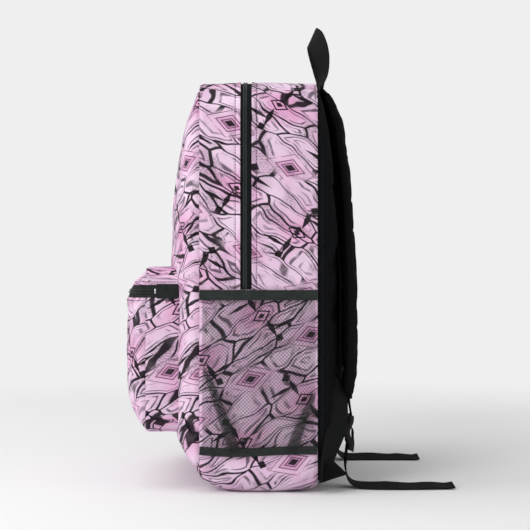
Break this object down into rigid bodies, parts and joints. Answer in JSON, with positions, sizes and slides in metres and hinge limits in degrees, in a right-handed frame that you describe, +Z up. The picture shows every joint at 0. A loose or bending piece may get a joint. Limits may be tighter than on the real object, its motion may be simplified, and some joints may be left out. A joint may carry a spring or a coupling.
{
  "type": "school backpack",
  "caption": "School backpack with a printed fabric body, zipped top, front pocket, mesh side pockets, carry loop and padded shoulder straps.",
  "frame": {"origin": "centre of the bag's base, on the ground", "axes": "+Z up, -Y towards the front pocket, +Y towards the shoulder straps, +X towards the wearer's right"},
  "size_m": [0.318, 0.3723, 0.534],
  "materials": {
    "printed_fabric": "woven polyester with an abstract pink and black print",
    "black_fabric": "black woven polyester",
    "back_mesh": "black spacer mesh",
    "foam": "closed-cell foam",
    "lining": "plain weave lining",
    "binding": "grosgrain ribbon",
    "board": "plastic board",
    "zip_tape": "woven zip tape",
    "zip_coil": "nylon coil",
    "zip_metal": "plated metal",
    "pull_rubber": "moulded pull",
    "side_net": "hexagonal net",
    "elastic": "ribbed elastic",
    "webbing": "polyester webbing",
    "buckle_plastic": "moulded plastic"
  },
  "bodies": {
    "bag": {"front_panel_lower": "printed_fabric", "front_gusset_lower": "printed_fabric", "rear_gusset": "printed_fabric", "base_gusset": "printed_fabric", "back_panel": "back_mesh", "back_foam": "foam", "back_lining": "lining", "rear_seam_binding": "binding", "base_board": "board", "laptop_sleeve": "lining", "sleeve_binding": "binding", "main_zip_front_tape_end": "zip_tape", "main_zip_rear_tape": "zip_tape", "main_zip_front_coil_end": "zip_coil", "main_zip_rear_coil": "zip_coil", "pocket_front_panel": "printed_fabric", "pocket_gusset": "printed_fabric", "pocket_zip_lower_tape": "zip_tape", "pocket_zip_lower_coil": "zip_coil", "pocket_zip_end_tabs": "binding", "pocket_zip_end_stops": "zip_metal", "side_mesh_left": "side_net", "side_mesh_right": "side_net", "mesh_band_left": "elastic", "mesh_band_right": "elastic", "mesh_binding_left": "binding", "mesh_binding_right": "binding", "strap_yoke": "black_fabric", "lower_webbing_left": "webbing", "lower_webbing_right": "webbing", "anchor_tab_left": "black_fabric", "anchor_tab_right": "black_fabric"},
    "flap": {"front_panel_upper": "printed_fabric", "front_gusset_upper": "printed_fabric", "main_zip_front_tape": "zip_tape", "main_zip_front_coil": "zip_coil"},
    "slider_left": {"main_slider_left": "zip_metal"},
    "slider_right": {"main_slider_right": "zip_metal"},
    "pull_left": {"main_pull_left": "pull_rubber"},
    "pull_right": {"main_pull_right": "pull_rubber"},
    "pocket_top": {"pocket_lid": "printed_fabric", "pocket_zip_upper_tape": "zip_tape", "pocket_zip_upper_coil": "zip_coil"},
    "pocket_slider": {"pocket_slider": "zip_metal"},
    "pocket_pull": {"pocket_pull": "pull_rubber"},
    "handle": {"carry_handle": "webbing"},
    "strap_left": {"strap_cover_left": "black_fabric", "strap_foam_left": "foam", "strap_spacer_left": "back_mesh", "strap_binding_left": "binding", "buckle_loop_left": "webbing"},
    "lock_left": {"ladder_lock_left": "buckle_plastic"},
    "tail_left": {"strap_tail_left": "webbing"},
    "strap_right": {"strap_cover_right": "black_fabric", "strap_foam_right": "foam", "strap_spacer_right": "back_mesh", "strap_binding_right": "binding", "buckle_loop_right": "webbing"},
    "lock_right": {"ladder_lock_right": "buckle_plastic"},
    "tail_right": {"strap_tail_right": "webbing"}
  },
  "joints": [
    {"name": "top_flap_open", "type": "hinge", "parent": "bag", "child": "flap", "pos_m": [0, -0.104, 0.3], "axis": [1, 0, 0], "range_deg": [0, 45]},
    {"name": "main_slider_left_run", "type": "slide", "parent": "bag", "child": "slider_left", "axis": [-1, 0, 0], "range_m": [0, 0.085]},
    {"name": "main_pull_left_lift", "type": "hinge", "parent": "slider_left", "child": "pull_left", "pos_m": [-0.00615, -0.014, 0.45515], "axis": [0, 1, 0], "range_deg": [0, 95]},
    {"name": "strap_left_swing", "type": "hinge", "parent": "bag", "child": "strap_left", "pos_m": [-0.06, 0.072, 0.447], "axis": [1, 0, 0], "range_deg": [0, 24]},
    {"name": "ladder_lock_left_tilt", "type": "hinge", "parent": "strap_left", "child": "lock_left", "pos_m": [-0.098, 0.101, 0.078], "axis": [1, 0, 0], "range_deg": [0, 30]},
    {"name": "strap_tail_left_lift", "type": "hinge", "parent": "lock_left", "child": "tail_left", "pos_m": [-0.098, 0.101, 0.044], "axis": [1, 0, 0], "range_deg": [0, 50]},
    {"name": "main_slider_right_run", "type": "slide", "parent": "bag", "child": "slider_right", "axis": [1, 0, 0], "range_m": [0, 0.085]},
    {"name": "main_pull_right_lift", "type": "hinge", "parent": "slider_right", "child": "pull_right", "pos_m": [0.00615, -0.014, 0.45515], "axis": [0, -1, 0], "range_deg": [0, 95]},
    {"name": "strap_right_swing", "type": "hinge", "parent": "bag", "child": "strap_right", "pos_m": [0.06, 0.072, 0.447], "axis": [1, 0, 0], "range_deg": [0, 24]},
    {"name": "ladder_lock_right_tilt", "type": "hinge", "parent": "strap_right", "child": "lock_right", "pos_m": [0.098, 0.101, 0.078], "axis": [1, 0, 0], "range_deg": [0, 30]},
    {"name": "strap_tail_right_lift", "type": "hinge", "parent": "lock_right", "child": "tail_right", "pos_m": [0.098, 0.101, 0.044], "axis": [1, 0, 0], "range_deg": [0, 50]},
    {"name": "pocket_lid_open", "type": "hinge", "parent": "bag", "child": "pocket_top", "pos_m": [0, -0.1035, 0.2475], "axis": [-1, 0, 0], "range_deg": [0, 40]},
    {"name": "pocket_slider_run", "type": "slide", "parent": "bag", "child": "pocket_slider", "axis": [1, 0, 0], "range_m": [0, 0.16]},
    {"name": "pocket_pull_lift", "type": "hinge", "parent": "pocket_slider", "child": "pocket_pull", "pos_m": [-0.08045, -0.15175, 0.219], "axis": [0, 0, -1], "range_deg": [0, 95]},
    {"name": "carry_handle_tip", "type": "hinge", "parent": "bag", "child": "handle", "pos_m": [0, 0.071, 0.453], "axis": [1, 0, 0], "range_deg": [-60, 50], "stiffness_Nm_per_rad": 0.05}
  ],
  "couplings": [
    {"joint": "main_slider_left_run", "follows": "top_flap_open", "m_per_rad": 0.108},
    {"joint": "main_slider_right_run", "follows": "top_flap_open", "m_per_rad": 0.108}
  ]
}
